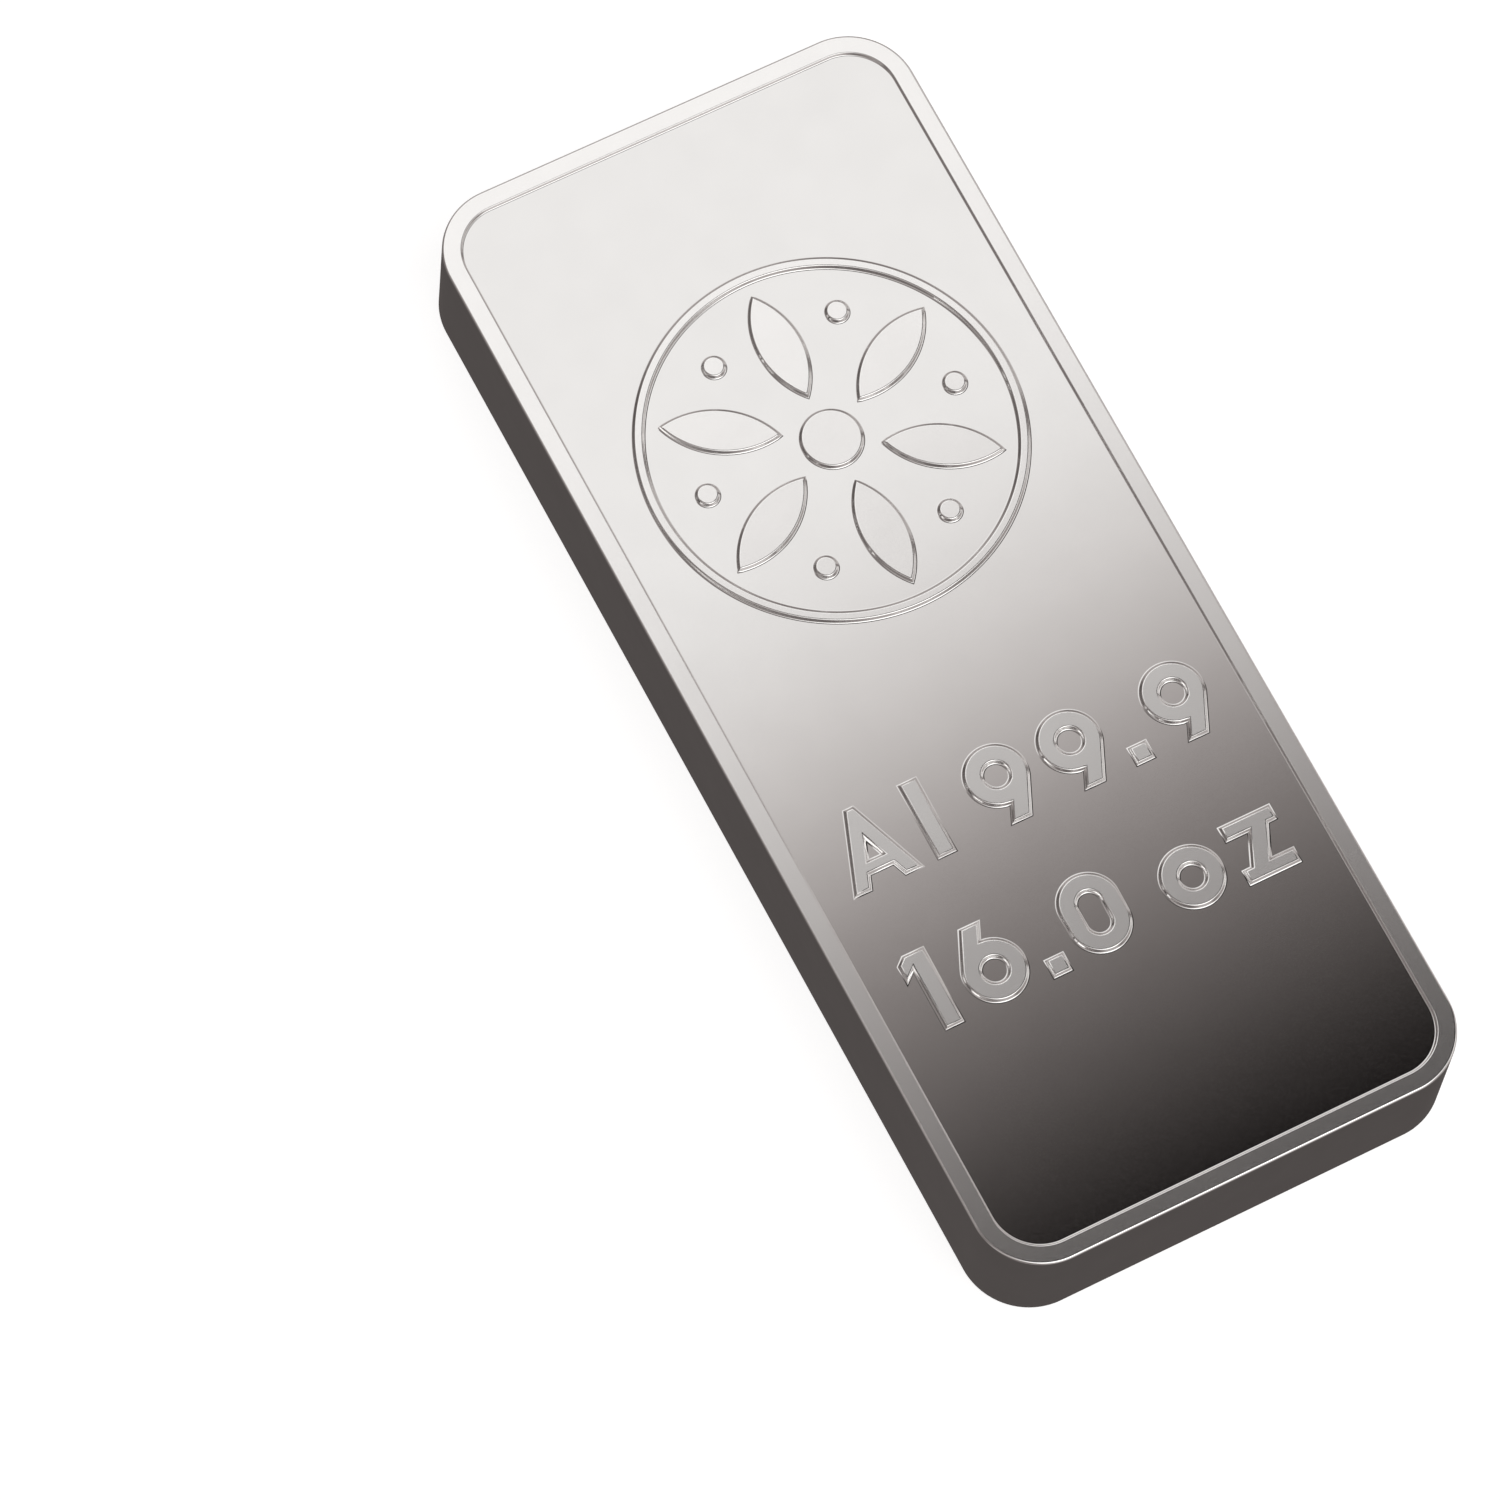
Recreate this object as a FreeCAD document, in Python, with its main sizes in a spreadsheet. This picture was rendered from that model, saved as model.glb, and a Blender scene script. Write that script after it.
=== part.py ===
import FreeCAD, Part
import math
import os
import Sketcher

# One-pound aluminium ingot, modelled in millimetres.
# X runs across the width, Y along the length and +Z is up; the origin is the
# middle of the underside. The bar is one struck solid: a rounded rectangle
# with a shallow panel inside a raised rim on each of its two faces.

SHEET_LABEL = "Dimensions"

DIMENSIONS = [
    ("width", 66.0, "across the bar (X)"),
    ("length", 158.0, "along the bar (Y)"),
    ("thickness", 16.8, "height lying flat (Z)"),
    ("corner_radius", 8.9, "outer corners seen from above"),
    ("rim_width", 2.35, "raised rim round each face"),
    ("panel_depth", 0.4, "how far each panel lies below its rim"),
    ("edge_round", 0.3, "rounding of the outer top and bottom edges"),
    ("rim_round", 0.15, "rounding of the inner edge of the rim"),
    ("foot_round", 0.2, "rounding where the rim meets the panel"),
]

TOLERANCE = 1e-4
QUARTER_TURN = math.pi / 2


def add_dimension_sheet(doc):
    """Writes every driving dimension into a spreadsheet under its own name."""
    sheet = doc.addObject("Spreadsheet::Sheet", SHEET_LABEL)
    for row, (name, value, meaning) in enumerate(DIMENSIONS, start=1):
        sheet.set("A%d" % row, name)
        sheet.set("B%d" % row, str(value))
        sheet.set("C%d" % row, meaning)
        sheet.setAlias("B%d" % row, name)
    doc.recompute()
    return sheet


def origin_plane(body, role):
    """Finds one of the body's own three origin planes."""
    for feature in body.Origin.OriginFeatures:
        if feature.Role == role:
            return feature
    raise RuntimeError("no plane %s in %s" % (role, body.Name))


def corner_points(half_x, half_y, radius):
    """Tangent points and arc centres of a rounded rectangle, anticlockwise."""
    inner_x = half_x - radius
    inner_y = half_y - radius
    return [
        ((inner_x, -half_y), (half_x, -inner_y), (inner_x, -inner_y)),
        ((half_x, inner_y), (inner_x, half_y), (inner_x, inner_y)),
        ((-inner_x, half_y), (-half_x, inner_y), (-inner_x, inner_y)),
        ((-half_x, -inner_y), (-inner_x, -half_y), (-inner_x, -inner_y)),
    ]


def draw_rounded_rectangle(sketch, half_x, half_y, radius):
    """Adds four sides (0 to 3) and four corner arcs (4 to 7) to a sketch."""
    corners = corner_points(half_x, half_y, radius)
    for index, (_, leave, _) in enumerate(corners):
        arrive = corners[(index + 1) % 4][0]
        start = FreeCAD.Vector(leave[0], leave[1], 0)
        end = FreeCAD.Vector(arrive[0], arrive[1], 0)
        sketch.addGeometry(Part.LineSegment(start, end), False)
    for index, (_, _, centre) in enumerate(corners):
        middle = FreeCAD.Vector(centre[0], centre[1], 0)
        circle = Part.Circle(middle, FreeCAD.Vector(0, 0, 1), radius)
        first = (index - 1) * QUARTER_TURN
        arc = Part.ArcOfCircle(circle, first, first + QUARTER_TURN)
        sketch.addGeometry(arc, False)


def constrain_rounded_rectangle(sketch, across, along, radius):
    """Ties the outline to the origin and drives its sizes by expressions."""
    start, end = 1, 2
    for side in range(4):
        arc_after = 4 + (side + 1) % 4
        arc_before = 4 + side
        sketch.addConstraint(Sketcher.Constraint("Tangent", arc_before, end, side, start))
        sketch.addConstraint(Sketcher.Constraint("Tangent", side, end, arc_after, start))
    sketch.addConstraint(Sketcher.Constraint("Vertical", 0))
    sketch.addConstraint(Sketcher.Constraint("Vertical", 2))
    sketch.addConstraint(Sketcher.Constraint("Horizontal", 1))
    sketch.addConstraint(Sketcher.Constraint("Horizontal", 3))
    for arc in (5, 6, 7):
        sketch.addConstraint(Sketcher.Constraint("Equal", 4, arc))
    sketch.addConstraint(Sketcher.Constraint("Symmetric", 0, start, 2, start, -1, start))
    return [
        ("across", Sketcher.Constraint("DistanceX", 2, start, 0, end, across)),
        ("along", Sketcher.Constraint("DistanceY", 3, start, 1, start, along)),
        ("corner", Sketcher.Constraint("Radius", 4, radius)),
    ]


def add_outline(body, name, sizes, formulas):
    """A fully driven rounded-rectangle sketch on the body's XY plane."""
    across, along, radius = sizes
    sketch = body.newObject("Sketcher::SketchObject", name)
    sketch.AttachmentSupport = [(origin_plane(body, "XY_Plane"), "")]
    sketch.MapMode = "FlatFace"
    draw_rounded_rectangle(sketch, across / 2, along / 2, radius)
    drivers = constrain_rounded_rectangle(sketch, across, along, radius)
    for (label, constraint), formula in zip(drivers, formulas):
        index = sketch.addConstraint(constraint)
        sketch.renameConstraint(index, label)
        sketch.setExpression("Constraints." + label, formula)
    return sketch


def add_pad(body, sketch):
    """Raises the bar's outline to its full thickness."""
    pad = body.newObject("PartDesign::Pad", "Blank")
    pad.Profile = sketch
    pad.setExpression("Length", "<<%s>>.thickness" % SHEET_LABEL)
    sketch.Visibility = False


def add_panel(body, sketch, name, upward):
    """Sinks one face's panel; upward is True for the underside's."""
    pocket = body.newObject("PartDesign::Pocket", name)
    pocket.Profile = sketch
    pocket.Reversed = upward
    pocket.setExpression("Length", "<<%s>>.panel_depth" % SHEET_LABEL)
    sketch.Visibility = False
    return pocket


def edges_at(shape, height, half_x, half_y):
    """Names the edges of the loop at a height that bounds a rectangle."""
    names = []
    for number, edge in enumerate(shape.Edges, start=1):
        box = edge.BoundBox
        level = abs(box.ZMin - height) < TOLERANCE and abs(box.ZMax - height) < TOLERANCE
        reach_x = max(abs(box.XMin), abs(box.XMax))
        reach_y = max(abs(box.YMin), abs(box.YMax))
        on_loop = abs(reach_x - half_x) < TOLERANCE or abs(reach_y - half_y) < TOLERANCE
        if level and on_loop:
            names.append("Edge%d" % number)
    return names


def add_fillet(body, base, name, edges, dimension):
    """Rounds a set of edges by one of the sheet's radii."""
    if not edges:
        raise RuntimeError("no edges found for " + name)
    fillet = body.newObject("PartDesign::Fillet", name)
    fillet.Base = (base, edges)
    fillet.setExpression("Radius", "<<%s>>.%s" % (SHEET_LABEL, dimension))
    return fillet


def check_document(doc):
    """Stops the build if any object failed or came out empty."""
    for item in doc.Objects:
        if "Invalid" in item.State or "Error" in item.State:
            raise RuntimeError("%s is %s" % (item.Name, item.State))
        shape = getattr(item, "Shape", None)
        if shape is not None and item.isDerivedFrom("PartDesign::Feature"):
            if shape.isNull() or not shape.isValid():
                raise RuntimeError("%s has no valid shape" % item.Name)


def build_ingot(doc, sheet):
    """The whole bar: blank, two panels, then its small roundings."""
    body = doc.addObject("PartDesign::Body", "Ingot")
    body.Label = "ingot"
    body.Placement = FreeCAD.Placement()
    cell = "<<%s>>." % SHEET_LABEL
    outer_sizes = (sheet.width, sheet.length, sheet.corner_radius)
    outer_formulas = (cell + "width", cell + "length", cell + "corner_radius")
    panel_sizes = (
        sheet.width - 2 * sheet.rim_width,
        sheet.length - 2 * sheet.rim_width,
        sheet.corner_radius - sheet.rim_width,
    )
    panel_formulas = (
        "%swidth - 2 * %srim_width" % (cell, cell),
        "%slength - 2 * %srim_width" % (cell, cell),
        "%scorner_radius - %srim_width" % (cell, cell),
    )

    outline = add_outline(body, "OutlineSketch", outer_sizes, outer_formulas)
    add_pad(body, outline)
    doc.recompute()

    top_sketch = add_outline(body, "TopPanelSketch", panel_sizes, panel_formulas)
    top_sketch.setExpression("AttachmentOffset.Base.z", cell + "thickness")
    add_panel(body, top_sketch, "TopPanel", False)
    doc.recompute()

    under_sketch = add_outline(body, "UnderPanelSketch", panel_sizes, panel_formulas)
    under_panel = add_panel(body, under_sketch, "UnderPanel", True)
    doc.recompute()

    top, depth = sheet.thickness, sheet.panel_depth
    outer = (sheet.width / 2, sheet.length / 2)
    inner = (outer[0] - sheet.rim_width, outer[1] - sheet.rim_width)
    steps = [
        ("OuterRound", outer, (0.0, top), "edge_round"),
        ("RimRound", inner, (0.0, top), "rim_round"),
        ("FootRound", inner, (depth, top - depth), "foot_round"),
    ]
    last = under_panel
    for name, (half_x, half_y), heights, dimension in steps:
        edges = []
        for height in heights:
            edges += edges_at(last.Shape, height, half_x, half_y)
        last = add_fillet(body, last, name, edges, dimension)
        doc.recompute()
    return body


def main():
    doc = FreeCAD.newDocument("AluminiumIngot")
    sheet = add_dimension_sheet(doc)
    body = build_ingot(doc, sheet)
    doc.recompute()
    check_document(doc)
    os.makedirs("parts", exist_ok=True)
    body.Shape.exportStep("parts/ingot.step")
    print("volume %.1f mm3, box %s" % (body.Shape.Volume, body.Shape.BoundBox))


main()
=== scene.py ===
import math

import bpy
from mathutils import Matrix, Vector


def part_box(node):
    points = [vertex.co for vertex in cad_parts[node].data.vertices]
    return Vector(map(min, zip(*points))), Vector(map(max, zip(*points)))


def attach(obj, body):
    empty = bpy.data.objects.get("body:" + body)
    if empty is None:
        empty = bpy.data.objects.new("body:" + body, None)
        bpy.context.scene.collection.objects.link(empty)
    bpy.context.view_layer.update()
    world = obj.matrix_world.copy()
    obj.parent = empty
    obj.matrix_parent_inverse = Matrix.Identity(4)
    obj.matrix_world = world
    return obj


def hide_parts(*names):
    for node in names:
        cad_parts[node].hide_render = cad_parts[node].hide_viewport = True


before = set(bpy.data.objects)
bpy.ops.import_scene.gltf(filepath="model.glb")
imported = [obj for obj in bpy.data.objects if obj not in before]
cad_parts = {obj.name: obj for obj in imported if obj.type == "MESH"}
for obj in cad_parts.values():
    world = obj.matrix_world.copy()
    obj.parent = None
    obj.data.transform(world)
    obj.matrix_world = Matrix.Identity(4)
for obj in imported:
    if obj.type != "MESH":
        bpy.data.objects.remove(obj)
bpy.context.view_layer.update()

# ---------------------------------------------------------------- sizes
# The bar is modelled in millimetres and brought to metres as its last step,
# because filling flat outlines this fine needs the larger numbers.
MM = 0.001

LOW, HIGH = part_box("ingot")
WIDTH = (HIGH[0] - LOW[0]) / MM
LENGTH = (HIGH[1] - LOW[1]) / MM
THICKNESS = (HIGH[2] - LOW[2]) / MM

CORNER_RADIUS = 8.9
CORNER_STEPS = 28
EDGE_ROUND = 0.3
EDGE_STEPS = 5
RIM_WIDTH = 2.35
PANEL_DEPTH = 0.4
PANEL_LEVEL = THICKNESS - PANEL_DEPTH
ROUND_STEPS = 5

# A thin flat band beside every round, which keeps the round's shading off the flats.
HOLD = 0.05

# A step between two levels: the radius of its foot, the radius of its crest, and
# how far its wall stands up from level. The marks lean back, so a die lets them go.
RIM_STEP = (0.2, 0.15, math.radians(90))
MARK_STEP = (0.28, 0.22, math.radians(58))

# The raised marks are cut from plates of this height before they are merged.
PLATE = 2.0
STROKE = 2.8
CAP_HEIGHT = 11.0
BOWL = 8.6
FULL_TURN = 2 * math.pi

# Nearer than TOUCH is the same height or place, a normal past FLAT is level, corners
# within MERGE become one, and edges sharper than the last angle stay sharp.
TOUCH = 0.01
FLAT = 0.99
MERGE = 0.06
SHARP_ANGLE = math.radians(40)

# ------------------------------------------------------- selecting by hand


def only(*items):
    """Makes these the only selected objects, the first of them active."""
    bpy.ops.object.select_all(action="DESELECT")
    for item in items:
        item.select_set(True)
    bpy.context.view_layer.objects.active = items[0]


def edit_faces(piece, chosen):
    """Opens a piece in edit mode with the faces that pass a test selected."""
    only(piece)
    bpy.ops.object.mode_set(mode="EDIT")
    bpy.ops.mesh.select_mode(type="FACE")
    bpy.ops.mesh.select_all(action="DESELECT")
    bpy.ops.object.mode_set(mode="OBJECT")
    for face in piece.data.polygons:
        face.select = chosen(face)
    bpy.ops.object.mode_set(mode="EDIT")


def edit_edges(piece, chosen):
    """Opens a piece in edit mode with the edges whose two ends pass a test."""
    only(piece)
    bpy.ops.object.mode_set(mode="EDIT")
    bpy.ops.mesh.select_mode(type="EDGE")
    bpy.ops.mesh.select_all(action="DESELECT")
    bpy.ops.object.mode_set(mode="OBJECT")
    points = piece.data.vertices
    for edge in piece.data.edges:
        first, second = (points[index].co for index in edge.vertices)
        edge.select = chosen(first, second)
    bpy.ops.object.mode_set(mode="EDIT")


def leave_edit():
    bpy.ops.object.mode_set(mode="OBJECT")


def faces_up(face):
    return face.normal.z > FLAT


def at_height(level):
    """A test for flat faces that lie at one height."""
    return lambda face: abs(face.normal.z) > FLAT and abs(face.center.z - level) < TOUCH


# ------------------------------------------------------- stepped profiles


def rising_step(foot, crest, lean):
    """Inward and upward moves from a foot fillet, up a wall, over a rounded crest."""
    turn = [lean * index / ROUND_STEPS for index in range(ROUND_STEPS + 1)]
    arc = [
        (math.sin(high) - math.sin(low), math.cos(low) - math.cos(high))
        for low, high in zip(turn, turn[1:])
    ]
    wall = PANEL_DEPTH - (foot + crest) * (1 - math.cos(lean))
    moves = [(foot * inward, foot * upward) for inward, upward in arc]
    moves.append((wall / math.tan(lean), wall))
    moves += [(crest * inward, crest * upward) for inward, upward in reversed(arc)]
    return moves


def inset(inward, upward=0.0):
    bpy.ops.mesh.inset(thickness=inward, depth=upward, use_even_offset=True)


# ------------------------------------------------------------- the blank


def make_blank():
    """A block with rounded corners, softened edges, and a rimmed panel on each face."""
    bpy.ops.mesh.primitive_cube_add(size=1.0, location=(0, 0, THICKNESS / 2))
    blank = bpy.context.object
    blank.name = "struck_bar"
    blank.scale = (WIDTH, LENGTH, THICKNESS)
    only(blank)
    bpy.ops.object.transform_apply(location=True, rotation=True, scale=True)

    def upright(first, second):
        return abs(first.z - second.z) > THICKNESS / 2

    edit_edges(blank, upright)
    bpy.ops.mesh.bevel(offset=CORNER_RADIUS, segments=CORNER_STEPS, affect="EDGES")
    leave_edit()

    def level(first, second):
        return abs(first.z - second.z) < TOUCH

    edit_edges(blank, level)
    bpy.ops.mesh.bevel(offset=EDGE_ROUND, segments=EDGE_STEPS, affect="EDGES")
    leave_edit()

    falling = [(inward, -upward) for inward, upward in reversed(rising_step(*RIM_STEP))]
    for height in (THICKNESS, 0.0):
        edit_faces(blank, at_height(height))
        inset(HOLD)
        inset(RIM_WIDTH - EDGE_ROUND - 2 * HOLD)
        inset(HOLD)
        for inward, downward in falling:
            inset(inward, downward)
        inset(HOLD)
        leave_edit()
    return blank


# -------------------------------------------------------- the raised marks


def stroke(start, end, width=STROKE):
    """A straight plate of even width from one point to another."""
    run = Vector(end) - Vector(start)
    middle = (Vector(start) + Vector(end)) / 2
    bpy.ops.mesh.primitive_cube_add(size=1.0, location=(middle.x, middle.y, PLATE / 2))
    plate = bpy.context.object
    plate.scale = (run.length, width, PLATE)
    plate.rotation_euler.z = math.atan2(run.y, run.x)
    only(plate)
    bpy.ops.object.transform_apply(location=True, rotation=True, scale=True)
    return plate


def trim(plate, point, outward):
    """Cuts a plate off square along a line and caps the cut."""
    edit_faces(plate, lambda face: True)
    bpy.ops.mesh.bisect(
        plane_co=(point[0], point[1], 0),
        plane_no=(outward[0], outward[1], 0),
        use_fill=True,
        clear_outer=True,
    )
    leave_edit()
    return plate


def disc(centre, radius, points=64):
    """A round plate, its first corner half a step round so that its sides are upright."""
    bpy.ops.mesh.primitive_circle_add(
        vertices=points,
        radius=radius,
        fill_type="NGON",
        location=(centre[0], centre[1], 0),
        rotation=(0, 0, math.pi / points),
    )
    plate = bpy.context.object
    only(plate)
    bpy.ops.object.transform_apply(location=True, rotation=True, scale=True)
    edit_faces(plate, lambda face: True)
    bpy.ops.mesh.extrude_region_move(TRANSFORM_OT_translate={"value": (0, 0, PLATE)})
    bpy.ops.mesh.select_all(action="SELECT")
    bpy.ops.mesh.normals_make_consistent(inside=False)
    leave_edit()
    return plate


def ring(centre, radius, width=STROKE, points=64):
    """A round band: a circle, inset by its width, opened in the middle and raised."""
    bpy.ops.mesh.primitive_circle_add(
        vertices=points,
        radius=radius,
        fill_type="NGON",
        location=(centre[0], centre[1], 0),
        rotation=(0, 0, math.pi / points),
    )
    band = bpy.context.object
    only(band)
    bpy.ops.object.transform_apply(location=True, rotation=True, scale=True)
    edit_faces(band, lambda face: True)
    inset(width)
    bpy.ops.mesh.delete(type="FACE")
    bpy.ops.mesh.select_all(action="SELECT")
    bpy.ops.mesh.extrude_region_move(TRANSFORM_OT_translate={"value": (0, 0, PLATE)})
    bpy.ops.mesh.select_all(action="SELECT")
    bpy.ops.mesh.normals_make_consistent(inside=False)
    leave_edit()
    return band


def combine(base, others, operation):
    """Merges or cuts plates with a Boolean that also clears up their own overlaps."""
    only(*others)
    if len(others) > 1:
        bpy.ops.object.join()
    tool = others[0]
    only(base)
    bpy.ops.object.modifier_add(type="BOOLEAN")
    cut = base.modifiers[-1]
    cut.operation = operation
    cut.solver = "EXACT"
    cut.use_self = True
    cut.object = tool
    bpy.ops.object.modifier_apply(modifier=cut.name)
    bpy.data.objects.remove(tool)
    return base


def turned(plates, centre, angle):
    """Turns finished plates about a point."""
    for plate in plates:
        edit_faces(plate, lambda face: True)
        bpy.ops.transform.rotate(
            value=angle, orient_axis="Z", center_override=(centre[0], centre[1], 0)
        )
        leave_edit()
    return plates


def capital_a(x, y):
    """Two legs that lean on each other, a little finer than a stem, and a low bar."""
    half, waist = 4.95, 0.75
    leg_width, bar_width = 2.5, 2.0
    bar_height, bar_start = 2.9, 2.4
    lean = 20.7
    reach = leg_width / 2 / math.cos(math.radians(lean))
    over = 2.0
    overlap = 0.3
    plates = []
    for side in (-1, 1):
        foot = Vector((x + half + side * (half - reach), y))
        crest = Vector((x + half + side * (waist - reach), y + CAP_HEIGHT))
        along = (crest - foot).normalized() * over
        leg = stroke(foot - along, crest + along, leg_width)
        trim(leg, (x, y), (0, -1))
        trim(leg, (x, y + CAP_HEIGHT), (0, 1))
        trim(leg, (x + half - side * overlap, y), (-side, 0))
        plates.append(leg)
    ends = (x + bar_start, y + bar_height), (x + 2 * half - bar_start, y + bar_height)
    plates.append(stroke(*ends, bar_width))
    return plates


def small_l(x, y):
    middle = x + STROKE / 2
    return [stroke((middle, y), (middle, y + CAP_HEIGHT))]


def point(x, y):
    middle = x + STROKE / 2
    return [stroke((middle, y), (middle, y + STROKE))]


def nine(x, y):
    """A round bowl with a straight tail that leaves its right side smoothly."""
    outer = BOWL / 2
    line = outer - STROKE / 2
    centre = Vector((x + outer, y + CAP_HEIGHT - outer))
    bowl = ring(centre, outer)
    angle = math.radians(-25)
    leave = centre + Vector((math.cos(angle), math.sin(angle))) * line
    heading = Vector((math.sin(angle), -math.cos(angle)))
    tail = stroke(leave, leave + heading * CAP_HEIGHT)
    trim(tail, (x, y), (0, -1))
    return [bowl, tail]


def six(x, y):
    middle = (x + BOWL / 2, y + CAP_HEIGHT / 2)
    return turned(nine(x, y), middle, math.pi)


def one(x, y):
    stem = x + 2.85
    plates = [stroke((stem, y), (stem, y + CAP_HEIGHT))]
    flag = stroke((x - 2.5, y + 6.44), (x + 2.66, y + 10.79), 2.2)
    trim(flag, (x, y), (-1, 0))
    trim(flag, (x, y + CAP_HEIGHT), (0, 1))
    return plates + [flag]


def zero(x, y):
    """A round band whose upper half is lifted to the height of the capitals."""
    outer = 4.2
    centre = (x + outer, y + outer)
    band = ring(centre, outer)
    edit_edges(band, lambda first, second: min(first.y, second.y) > centre[1])
    bpy.ops.transform.translate(value=(0, CAP_HEIGHT - 2 * outer, 0))
    leave_edit()
    return [band]


def small_o(x, y):
    return [ring((x + BOWL / 2, y + BOWL / 2), BOWL / 2)]


def small_z(x, y):
    width, bar = 7.4, 2.3
    plates = [
        stroke((x, y + bar / 2), (x + width, y + bar / 2), bar),
        stroke((x, y + BOWL - bar / 2), (x + width, y + BOWL - bar / 2), bar),
    ]
    slope = Vector((3.9, BOWL)).normalized() * 2.0
    low, high = Vector((x + 1.75, y)), Vector((x + 5.65, y + BOWL))
    diagonal = stroke(low - slope, high + slope)
    trim(diagonal, (x, y), (0, -1))
    trim(diagonal, (x, y + BOWL), (0, 1))
    return plates + [diagonal]


SPACE = 4.6
PURITY = [
    (capital_a, 9.9, 1.8),
    (small_l, STROKE, SPACE),
    (nine, BOWL, 1.7),
    (nine, BOWL, 1.6),
    (point, STROKE, 1.6),
    (nine, BOWL, 0.0),
]
WEIGHT = [
    (one, 4.3, 2.0),
    (six, BOWL, 1.6),
    (point, STROKE, 1.6),
    (zero, 8.4, SPACE),
    (small_o, BOWL, 1.5),
    (small_z, 7.4, 0.0),
]
PURITY_BASELINE = -26.3
WEIGHT_BASELINE = -46.4

EMBLEM_CENTRE = (0.0, 29.5)
EMBLEM_RADIUS = 25.1
EMBLEM_BAND = 1.8
EMBLEM_POINTS = 240
PETALS = 6
PETAL_START = 6.0
PETAL_END = 22.0
PETAL_POINTS = 96
PETAL_STEPS = 11
BOSS_RADIUS = 4.2
BEAD_RADIUS = 1.7
BEAD_REACH = 17.5


def row_of_marks(row, baseline):
    """Sets one row of marks, centred across the bar."""
    total = sum(width + gap for _, width, gap in row)
    x = -total / 2
    plates = []
    for draw, width, gap in row:
        plates += draw(x, baseline)
        x += width + gap
    return plates


def make_petal(angle):
    """A lens: one slice cut off a round plate, and the same slice turned to its back."""
    half_long = (PETAL_END - PETAL_START) / 2
    half_arc = FULL_TURN * (PETAL_STEPS + 0.5) / PETAL_POINTS
    radius = half_long / math.sin(half_arc)
    x = EMBLEM_CENTRE[0]
    y = EMBLEM_CENTRE[1] + PETAL_START + half_long
    petal = disc((x - radius * math.cos(half_arc), y), radius, PETAL_POINTS)
    trim(petal, (x, y), (-1, 0))
    edit_faces(petal, lambda face: abs(face.center.x - x) < TOUCH)
    bpy.ops.mesh.delete(type="ONLY_FACE")
    bpy.ops.mesh.select_all(action="SELECT")
    bpy.ops.mesh.duplicate()
    bpy.ops.transform.rotate(value=math.pi, orient_axis="Z", center_override=(x, y, 0))
    bpy.ops.mesh.select_all(action="SELECT")
    bpy.ops.mesh.remove_doubles(threshold=MERGE)
    leave_edit()
    return turned([petal], EMBLEM_CENTRE, angle)[0]


def make_emblem():
    """A ring round a boss and six leaves, with a bead between each two leaves."""
    plates = [ring(EMBLEM_CENTRE, EMBLEM_RADIUS, EMBLEM_BAND, EMBLEM_POINTS)]
    plates.append(disc(EMBLEM_CENTRE, BOSS_RADIUS))
    for index in range(PETALS):
        plates.append(make_petal(FULL_TURN * index / PETALS))
        angle = FULL_TURN * (index + 0.5) / PETALS + math.pi / 2
        reach = Vector((math.cos(angle), math.sin(angle))) * BEAD_REACH
        plates.append(disc(Vector(EMBLEM_CENTRE) + reach, BEAD_RADIUS))
    return plates


def make_relief():
    """The flat outline of every raised mark, as one sheet at the panel's level."""
    plates = make_emblem()
    plates += row_of_marks(PURITY, PURITY_BASELINE)
    plates += row_of_marks(WEIGHT, WEIGHT_BASELINE)
    relief = combine(plates[0], plates[1:], "UNION")
    edit_faces(relief, lambda face: not (faces_up(face) and face.center.z > PLATE / 2))
    bpy.ops.mesh.delete(type="FACE")
    bpy.ops.mesh.select_all(action="SELECT")
    bpy.ops.mesh.remove_doubles(threshold=MERGE)
    bpy.ops.mesh.dissolve_limited(angle_limit=math.radians(1))
    bpy.ops.mesh.select_all(action="SELECT")
    bpy.ops.transform.translate(value=(0, 0, PANEL_LEVEL - PLATE))
    leave_edit()
    return relief


def strike(blank, relief):
    """Joins the marks to the upper panel as one skin and raises them."""
    edit_faces(blank, lambda face: faces_up(face) and at_height(PANEL_LEVEL)(face))
    bpy.ops.mesh.delete(type="FACE")
    leave_edit()
    mark = bpy.data.materials.new("mark")
    relief.data.materials.append(mark)
    blank.data.materials.append(bpy.data.materials.new("plain"))
    only(blank, relief)
    bpy.ops.object.join()

    only(blank)
    bpy.ops.object.mode_set(mode="EDIT")
    bpy.ops.mesh.select_mode(type="EDGE")
    bpy.ops.mesh.select_all(action="DESELECT")
    bpy.ops.mesh.select_non_manifold(
        extend=False,
        use_wire=False,
        use_multi_face=False,
        use_non_contiguous=False,
        use_verts=False,
    )
    bpy.ops.mesh.fill(use_beauty=True)
    leave_edit()

    index = blank.data.materials.find("mark")

    def is_mark(face):
        return face.material_index == index

    def is_panel(face):
        return not is_mark(face) and faces_up(face) and at_height(PANEL_LEVEL)(face)

    edit_faces(blank, is_panel)
    inset(HOLD)
    leave_edit()
    edit_faces(blank, is_mark)
    for inward, upward in rising_step(*MARK_STEP):
        inset(inward, upward)
    inset(HOLD)
    leave_edit()
    return blank


def finish_bar(bar):
    """Brings the bar to its exact size in metres, with smooth, evenly weighted shading."""
    half_size = (WIDTH / 2, LENGTH / 2, THICKNESS)
    drawn = [max(vertex.co[axis] for vertex in bar.data.vertices) for axis in range(3)]
    scale = [MM * true / reached for true, reached in zip(half_size, drawn)]
    edit_faces(bar, lambda face: True)
    bpy.ops.mesh.normals_make_consistent(inside=False)
    leave_edit()
    bar.scale = scale
    bpy.ops.object.transform_apply(location=False, rotation=False, scale=True)
    bpy.ops.object.shade_smooth_by_angle(angle=SHARP_ANGLE)
    bpy.ops.object.modifier_add(type="WEIGHTED_NORMAL")
    even = bar.modifiers[-1]
    even.keep_sharp = True
    bpy.ops.object.modifier_apply(modifier=even.name)


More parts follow.
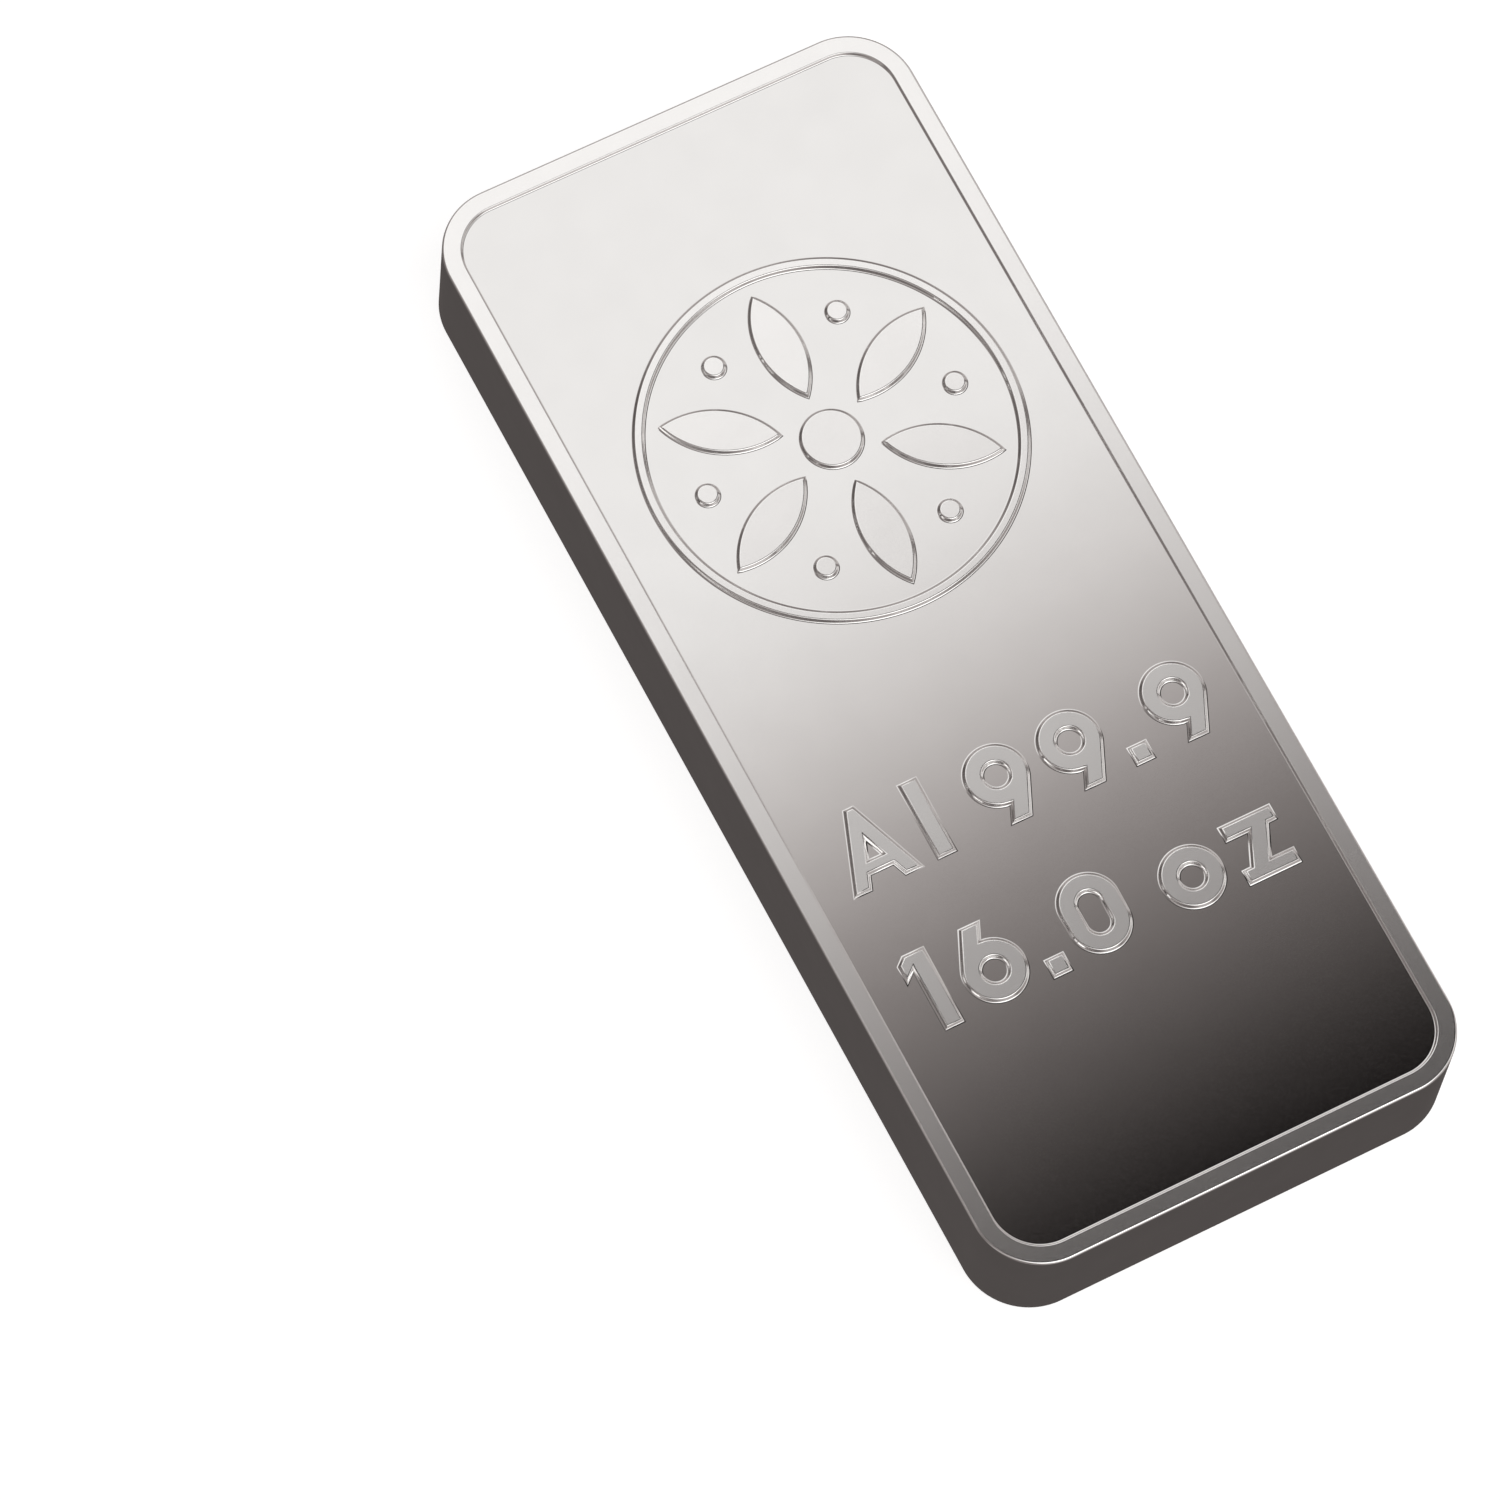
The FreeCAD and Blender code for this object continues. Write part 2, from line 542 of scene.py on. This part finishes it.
bar = strike(make_blank(), make_relief())
finish_bar(bar)

# ------------------------------------------------------------- materials


def paint(code):
    """An sRGB hex colour as the linear RGBA that the shaders use."""
    values = [int(code[start : start + 2], 16) / 255 for start in (1, 3, 5)]
    linear = [v / 12.92 if v <= 0.04045 else ((v + 0.055) / 1.055) ** 2.4 for v in values]
    return (*linear, 1.0)


def add_node(tree, kind, settings=None, links=None):
    """Adds a node, sets its properties and sockets by name or number, and links into it."""
    node = tree.nodes.new(kind)
    for name, value in (settings or {}).items():
        if isinstance(name, str) and hasattr(node, name):
            setattr(node, name, value)
        else:
            node.inputs[name].default_value = value
    for name, source in (links or {}).items():
        tree.links.new(source, node.inputs[name])
    return node


def grained_metal(name, colours, roughness, grain, height, stretch=(1.0, 1.0, 1.0)):
    """Bare metal whose colour, roughness and surface all follow one grain.

    The grain is its size in metres, and stretch draws it out along an axis.
    """
    material = bpy.data.materials.new(name)
    material.use_nodes = True
    tree = material.node_tree
    shader = tree.nodes["Principled BSDF"]
    shader.inputs["Metallic"].default_value = 1.0

    place = add_node(tree, "ShaderNodeTexCoord")
    drawn = add_node(
        tree,
        "ShaderNodeMapping",
        {"Scale": [1 / (grain * along) for along in stretch]},
        {"Vector": place.outputs["Object"]},
    )
    fine = add_node(
        tree,
        "ShaderNodeTexNoise",
        {"Scale": 1.0, "Detail": 2.0, "Roughness": 0.55},
        {"Vector": drawn.outputs["Vector"]},
    )
    cloud = add_node(
        tree,
        "ShaderNodeTexNoise",
        {"Scale": 1 / CLOUD_SIZE, "Detail": 3.0, "Roughness": 0.5},
        {"Vector": place.outputs["Object"]},
    )
    tint = add_node(
        tree,
        "ShaderNodeMix",
        {"data_type": "RGBA", 6: paint(colours[0]), 7: paint(colours[1])},
        {0: cloud.outputs["Fac"]},
    )
    tree.links.new(tint.outputs[2], shader.inputs["Base Color"])
    spread = add_node(
        tree,
        "ShaderNodeMapRange",
        {"From Min": 0.3, "From Max": 0.7, "To Min": roughness[0], "To Max": roughness[1]},
        {"Value": fine.outputs["Fac"]},
    )
    tree.links.new(spread.outputs["Result"], shader.inputs["Roughness"])
    bump = add_node(
        tree,
        "ShaderNodeBump",
        {"Strength": 1.0, "Distance": height},
        {"Height": fine.outputs["Fac"]},
    )
    tree.links.new(bump.outputs["Normal"], shader.inputs["Normal"])
    return material


# Soft patches a few millimetres across, where the die pressed a little harder.
CLOUD_SIZE = 0.006

# Aluminium struck by a polished die: nearly a mirror, with a whisper of grain
# that keeps long reflections soft. The grain is drawn at 0.3 mm, coarser than
# the real one, so that it shows.
panel_metal = grained_metal(
    "struck_aluminium_smooth_panel", ("#E5E4E3", "#EBEAE9"), (0.045, 0.065), 0.0003, 1e-7
)

# Aluminium under the lightly blasted rim and emblem of the die: paler and softer
# than the panel, so they read as raised even where their edges are faint.
relief_metal = grained_metal(
    "struck_aluminium_matt_relief", ("#F4F3F2", "#FBFAF9"), (0.125, 0.15), 0.00025, 4e-7
)

# Aluminium struck by the etched letters of the die: the palest and dullest, with
# a fine even frost that lets the words stand out from the dark end of the panel.
letter_metal = grained_metal(
    "struck_aluminium_frosted_letters", ("#F3F2F1", "#FBFAF9"), (0.16, 0.19), 0.00022, 8e-7
)

# Aluminium that slid along the die's wall: satin, with faint level drag lines
# that run round the bar's four sides. They are drawn 0.3 mm apart, coarser than
# the real ones.
side_metal = grained_metal(
    "drawn_aluminium_satin_side",
    ("#DFDEDD", "#ECEBEA"),
    (0.16, 0.25),
    0.0003,
    1.5e-6,
    stretch=(40.0, 40.0, 1.0),
)

# The part of the upper panel that holds the two rows of letters.
LETTERS_LOW = (-29.0, -60.0)
LETTERS_HIGH = (29.0, 0.0)


def among_letters(x, y, z):
    return (
        LETTERS_LOW[0] < x < LETTERS_HIGH[0]
        and LETTERS_LOW[1] < y < LETTERS_HIGH[1]
        and z > THICKNESS / 2
    )


def dress(bar):
    """Gives each face of the bar the finish that its part of the die left."""
    bar.data.materials.clear()
    for material in (panel_metal, relief_metal, letter_metal, side_metal):
        bar.data.materials.append(material)
    panel_slot, relief_slot, letter_slot, side_slot = range(4)
    for face in bar.data.polygons:
        x, y, z = face.center / MM
        depth = min(z, THICKNESS - z)
        if depth > PANEL_DEPTH + TOUCH:
            face.material_index = side_slot
        elif abs(face.normal.z) > FLAT and depth > PANEL_DEPTH - TOUCH:
            face.material_index = panel_slot
        elif among_letters(x, y, z) and depth < TOUCH:
            face.material_index = letter_slot
        else:
            face.material_index = relief_slot


dress(bar)
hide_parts("ingot")
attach(bar, "root")

# ------------------------------------------------------------- the studio
scene = bpy.context.scene
scene.view_settings.view_transform = "Standard"
scene.view_settings.look = "None"


def make_floor():
    """A lit white sweep: its own glow keeps it near white, and the studio adds a soft shadow."""
    bpy.ops.mesh.primitive_plane_add(size=6.0, location=(0, 0, 0))
    floor = bpy.context.object
    floor.name = "studio_floor"
    material = bpy.data.materials.new("matt_white_lit_floor")
    material.use_nodes = True
    shader = material.node_tree.nodes["Principled BSDF"]
    shader.inputs["Base Color"].default_value = paint("#BEBEBE")
    shader.inputs["Roughness"].default_value = 1.0
    shader.inputs["Specular IOR Level"].default_value = 0.0
    shader.inputs["Emission Color"].default_value = paint("#FFFFFF")
    shader.inputs["Emission Strength"].default_value = 0.8
    floor.data.materials.append(material)
    floor.visible_glossy = False
    floor.visible_diffuse = False


def make_camera():
    """A long lens above the near left corner, turned a little on its axis."""
    data = bpy.data.cameras.new("camera")
    data.sensor_width = 36.0
    data.lens = 211.94
    camera = bpy.data.objects.new("camera", data)
    bpy.context.collection.objects.link(camera)
    place = Vector((-4.053, -5.072, 15.527)) * WIDTH * MM
    forward = Vector((0.2196, 0.3048, -0.9268)).normalized()
    up = Vector((0.4107, 0.8328, 0.3712))
    right = forward.cross(up).normalized()
    up = right.cross(forward)
    turn = Matrix((right, up, -forward)).transposed()
    camera.matrix_world = Matrix.Translation(place) @ turn.to_4x4()
    scene.camera = camera


# The lights run across the bar a little askew, and are never read nearer to the
# horizon than this height. Dim light is a little warmer than full light.
LIGHT_SKEW = -0.0725
LEAST_HEIGHT = 0.02
DIM_LIGHT = (1.0, 0.88, 0.85, 1.0)
FULL_LIGHT = (1.0, 0.988, 0.978, 1.0)


def make_world():
    """The studio as the metal mirrors it, told by direction.

    Slope is how far a direction leans back from straight up. A broad light stands
    over and behind the bar and feathers out towards the zenith. Then comes a dark
    gap, filled a little on the left, and a softer light in front. The left side is
    dim and the right side half lit. Below the horizon it darkens towards straight
    down. Each fade gives its source, where it starts and ends, and its two levels.
    """
    world = bpy.data.worlds.new("studio")
    world.use_nodes = True
    scene.world = world
    tree = world.node_tree
    background = tree.nodes["Background"]
    toward = add_node(tree, "ShaderNodeTexCoord").outputs["Generated"]
    axes = add_node(tree, "ShaderNodeSeparateXYZ", links={0: toward}).outputs
    x, y, z = axes["X"], axes["Y"], axes["Z"]
    skew = {"operation": "MULTIPLY_ADD", 1: LIGHT_SKEW}
    lean = add_node(tree, "ShaderNodeMath", skew, {0: x, 2: y}).outputs[0]
    above_horizon = {"operation": "MAXIMUM", 1: LEAST_HEIGHT}
    height = add_node(tree, "ShaderNodeMath", above_horizon, {0: z}).outputs[0]
    divide = {"operation": "DIVIDE"}
    slope = add_node(tree, "ShaderNodeMath", divide, {0: lean, 1: height}).outputs[0]

    fades = {
        "back_feather": (slope, 0.229, 0.315, 0.0, 0.45),
        "back_core": (slope, 0.274, 0.342, 0.0, 0.58),
        "back_end": (slope, 0.45, 1.8, 1.0, 0.5),
        "strip": (slope, -0.05, -0.18, 0.0, 1.65),
        "strip_end": (slope, -0.5, -1.6, 1.0, 0.45),
        "overhead": (x, 0.17, -0.25, 0.0, 0.5),
        "left": (x, -0.5, 0.05, 0.22, 1.0),
        "right": (x, 0.3, 0.54, 1.0, 0.42),
        "left_fill": (x, -0.35, -0.8, 0.0, 0.1),
        "right_fill": (x, 0.45, 0.85, 0.0, 0.22),
        "low": (z, 0.0, 0.5, 0.55, 1.0),
        "left_floor": (x, -0.9, -0.4, 0.38, 1.0),
        "below": (z, -0.85, 0.0, 0.092, 0.4),
        "sky": (z, -0.04, 0.04, 0.0, 1.0),
        "ground": (z, -0.04, 0.04, 1.0, 0.0),
    }
    level = {}
    for name, (source, start, end, first, last) in fades.items():
        settings = {
            "interpolation_type": "SMOOTHSTEP",
            "From Min": start,
            "From Max": end,
            "To Min": first,
            "To Max": last,
        }
        node = add_node(tree, "ShaderNodeMapRange", settings, {"Value": source})
        level[name] = node.outputs["Result"]

    steps = (
        ("back_light", "ADD", "back_feather", "back_core"),
        ("back", "MULTIPLY", "back_light", "back_end"),
        ("front", "MULTIPLY", "strip", "strip_end"),
        ("two_lights", "ADD", "back", "front"),
        ("lights", "MAXIMUM", "two_lights", "overhead"),
        ("sides", "MULTIPLY", "left", "right"),
        ("dimmed", "MULTIPLY", "lights", "sides"),
        ("fill", "ADD", "left_fill", "right_fill"),
        ("filled", "ADD", "dimmed", "fill"),
        ("reach", "MULTIPLY", "filled", "low"),
        ("above", "MULTIPLY", "reach", "sky"),
        ("dim_floor", "MULTIPLY", "below", "left_floor"),
        ("lit_floor", "ADD", "dim_floor", "right_fill"),
        ("floor", "MULTIPLY", "lit_floor", "ground"),
        ("total", "ADD", "above", "floor"),
    )
    for name, operation, first, second in steps:
        links = {0: level[first], 1: level[second]}
        node = add_node(tree, "ShaderNodeMath", {"operation": operation}, links)
        level[name] = node.outputs[0]

    warmth = add_node(
        tree,
        "ShaderNodeMix",
        {"data_type": "RGBA", 6: DIM_LIGHT, 7: FULL_LIGHT},
        {0: level["total"]},
    )
    tree.links.new(warmth.outputs[2], background.inputs["Color"])
    tree.links.new(level["total"], background.inputs["Strength"])


make_floor()
make_camera()
make_world()
